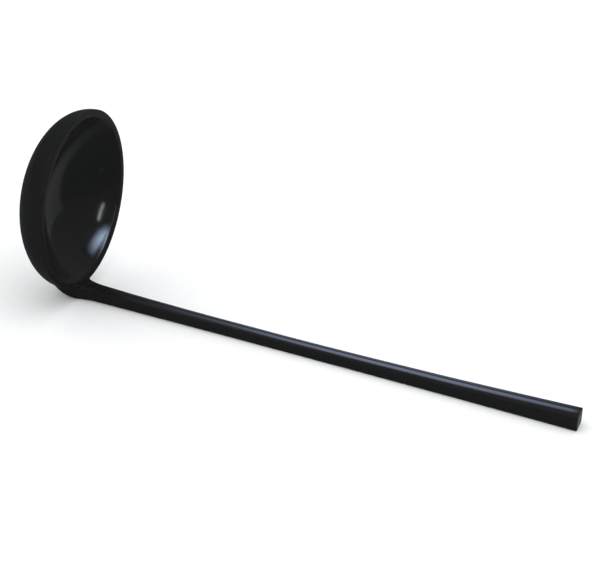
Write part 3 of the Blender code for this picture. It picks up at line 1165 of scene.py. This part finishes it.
def add_card(card, place, target):
    """Sets a soft panel up at a place, facing a target."""
    obj = stage_mesh(card.name, [(x, y, 0) for x, y in CORNERS], card_material(card))
    facing = (target - place).to_track_quat("Z", "Y").to_matrix().to_4x4()
    spin = Matrix.Rotation(card.turn, 4, "Z")
    width, height = card.size
    scale = Matrix.Diagonal((width / 2, height / 2, 1.0, 1.0))
    obj.matrix_world = Matrix.Translation(place) @ facing @ spin @ scale
    only_in_gloss(obj)


def add_world(stage):
    """Even soft light for the floor, and a dimmer room for the gloss to mirror."""
    world = bpy.data.worlds.new("studio_room")
    bpy.context.scene.world = world
    world.use_nodes = True
    tree = world.node_tree
    tree.nodes.clear()
    output = tree.nodes.new("ShaderNodeOutputWorld")
    soft = add_node(tree, "Background", {"Color": stage.sky, "Strength": stage.sky_strength})
    pale = add_node(tree, "Background", {"Color": stage.floor, "Strength": stage.backdrop_strength})
    way = add_node(tree, "TexCoord").outputs["Generated"]
    axes = add_node(tree, "SeparateXYZ", {"Vector": way}).outputs
    upward = ramp(tree, axes[2], *ROOM_RISE, stage.room_low, stage.room_high)
    forward = ramp(tree, axes[0], *ROOM_FRONT, stage.room_rear, 1.0)
    room = math_node(tree, "MULTIPLY", upward, forward)
    dim = add_node(tree, "Background", {"Color": stage.sky, "Strength": room})
    rays = add_node(tree, "LightPath").outputs
    seen = add_node(tree, "MixShader", {0: rays["Is Camera Ray"], 1: soft.outputs[0], 2: pale.outputs[0]})
    mixed = add_node(tree, "MixShader", {0: rays["Is Glossy Ray"], 1: seen.outputs[0], 2: dim.outputs[0]})
    tree.links.new(mixed.outputs[0], output.inputs["Surface"])
    world.cycles.sampling_method = "NONE"


def add_soft_light(name, place, target, size, power):
    """A large soft light that the gloss doesn't mirror."""
    light = bpy.data.lights.new(name, "AREA")
    light.energy = power
    light.size = size
    obj = linked(name, light)
    obj.location = place
    obj.rotation_euler = (target - place).to_track_quat("-Z", "Y").to_euler()
    obj.visible_glossy = False


def add_camera(stage, target):
    camera = bpy.data.cameras.new("camera")
    camera.sensor_fit = "HORIZONTAL"
    camera.sensor_width = SENSOR_WIDTH
    camera.lens = stage.lens
    obj = linked("camera", camera)
    back = direction(stage.azimuth, stage.elevation)
    level = Vector((math.cos(stage.azimuth), math.sin(stage.azimuth), 0.0))
    axes = Matrix((level, back.cross(level), back)).transposed().to_4x4()
    place = Matrix.Translation(target + back * stage.distance)
    obj.matrix_world = place @ axes @ Matrix.Rotation(stage.roll, 4, "Z")
    bpy.context.scene.camera = obj


class StageOperator(bpy.types.Operator):
    """Set the floor, the soft light and the camera"""

    bl_idname = "scoop.stage"
    bl_label = "Stage"

    def execute(self, context):
        scene = context.scene
        stage = scene.scoop_stage
        rim = rim_place(scene.scoop_handle)
        mouth = rim + rim_centre(scene.scoop_bowl)
        corners = [(x * FLOOR_HALF, y * FLOOR_HALF, CAD_BOX[0].z) for x, y in CORNERS]
        stage_mesh("studio_floor", corners, floor_material(stage))
        add_world(stage)
        add_soft_light("soft_top", SOFT_TOP_PLACE, Vector(), SOFT_TOP_SIZE, SOFT_TOP_POWER)
        for card in MOUTH_CARDS:
            add_card(card, mouth + card.place, mouth)
        for card in FAR_CARDS:
            add_card(card, card.place, Vector((card.place.x, 0.0, 0.0)))
        add_camera(stage, rim + CAMERA_AIM)
        scene.view_settings.view_transform = "Standard"
        return {"FINISHED"}


# Add-on


class ScoopPanel(bpy.types.Panel):
    """Lists the scoop's settings and the steps that make it"""

    bl_idname = "VIEW3D_PT_scoop"
    bl_label = "Serving Scoop"
    bl_space_type = "VIEW_3D"
    bl_region_type = "UI"
    bl_category = "Scoop"

    def draw(self, context):
        layout = self.layout
        for operator in OPERATORS:
            layout.operator(operator.bl_idname)
        for name in GROUPS:
            box = layout.box()
            group = getattr(context.scene, name)
            for prop in group.bl_rna.properties:
                if prop.identifier not in ("rna_type", "name"):
                    box.prop(group, prop.identifier)


GROUPS = {
    "scoop_bowl": BowlSizes,
    "scoop_handle": HandleSizes,
    "scoop_joint": JointSizes,
    "scoop_looks": LacquerLooks,
    "scoop_stage": StageLooks,
}
OPERATORS = (BowlOperator, HandleOperator, PegsOperator, BeadOperator, StageOperator)


def register():
    for group in GROUPS.values():
        bpy.utils.register_class(group)
    for name, group in GROUPS.items():
        setattr(bpy.types.Scene, name, bpy.props.PointerProperty(type=group))
    for made in (*OPERATORS, ScoopPanel):
        bpy.utils.register_class(made)


def unregister():
    for made in (ScoopPanel, *reversed(OPERATORS)):
        bpy.utils.unregister_class(made)
    for name in GROUPS:
        delattr(bpy.types.Scene, name)
    for group in reversed(GROUPS.values()):
        bpy.utils.unregister_class(group)


def main():
    register()
    bpy.ops.scoop.bowl()
    bpy.ops.scoop.handle()
    bpy.ops.scoop.pegs()
    bpy.ops.scoop.bead()
    bpy.ops.scoop.stage()


if __name__ == "__main__":
    main()
